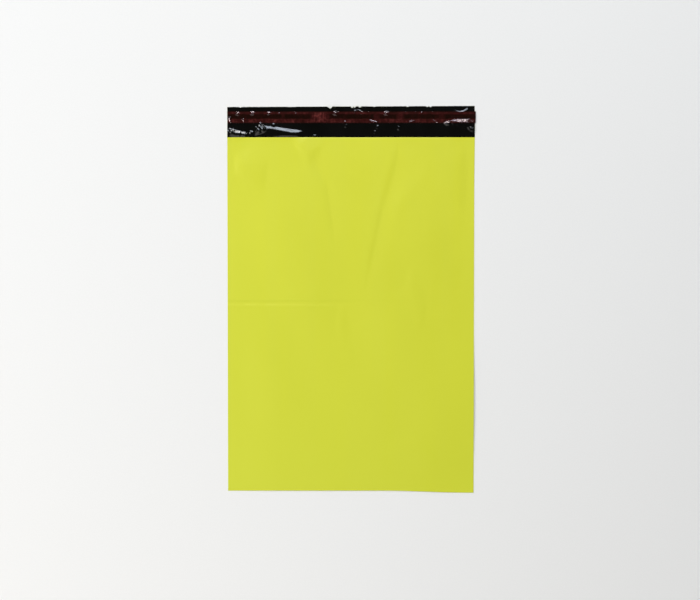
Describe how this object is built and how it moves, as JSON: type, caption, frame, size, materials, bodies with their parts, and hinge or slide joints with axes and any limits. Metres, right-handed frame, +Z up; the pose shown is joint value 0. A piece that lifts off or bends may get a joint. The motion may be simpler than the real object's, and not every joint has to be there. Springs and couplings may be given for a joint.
{
  "type": "poly mailer bag",
  "caption": "Flat lime plastic film mailing bag with a black lined lip, a glue band under a clear red peel-off liner, side welds and a folded bottom.",
  "frame": {"origin": "under the middle of the bag's outline, on the surface that the bag lies on", "axes": "+X across the bag to the viewer's right, +Y from the bottom fold to the lip, +Z up out of the front panel"},
  "size_m": [0.2502, 0.3916, 0.0025],
  "materials": {
    "film": "satin lime film, black on its inner face",
    "glue": "glossy dark brown hot-melt glue",
    "liner": "clear red glossy film"
  },
  "bodies": {
    "root": {"film_bag": "film", "adhesive_strip": "glue", "release_liner": "liner"}
  },
  "joints": []
}
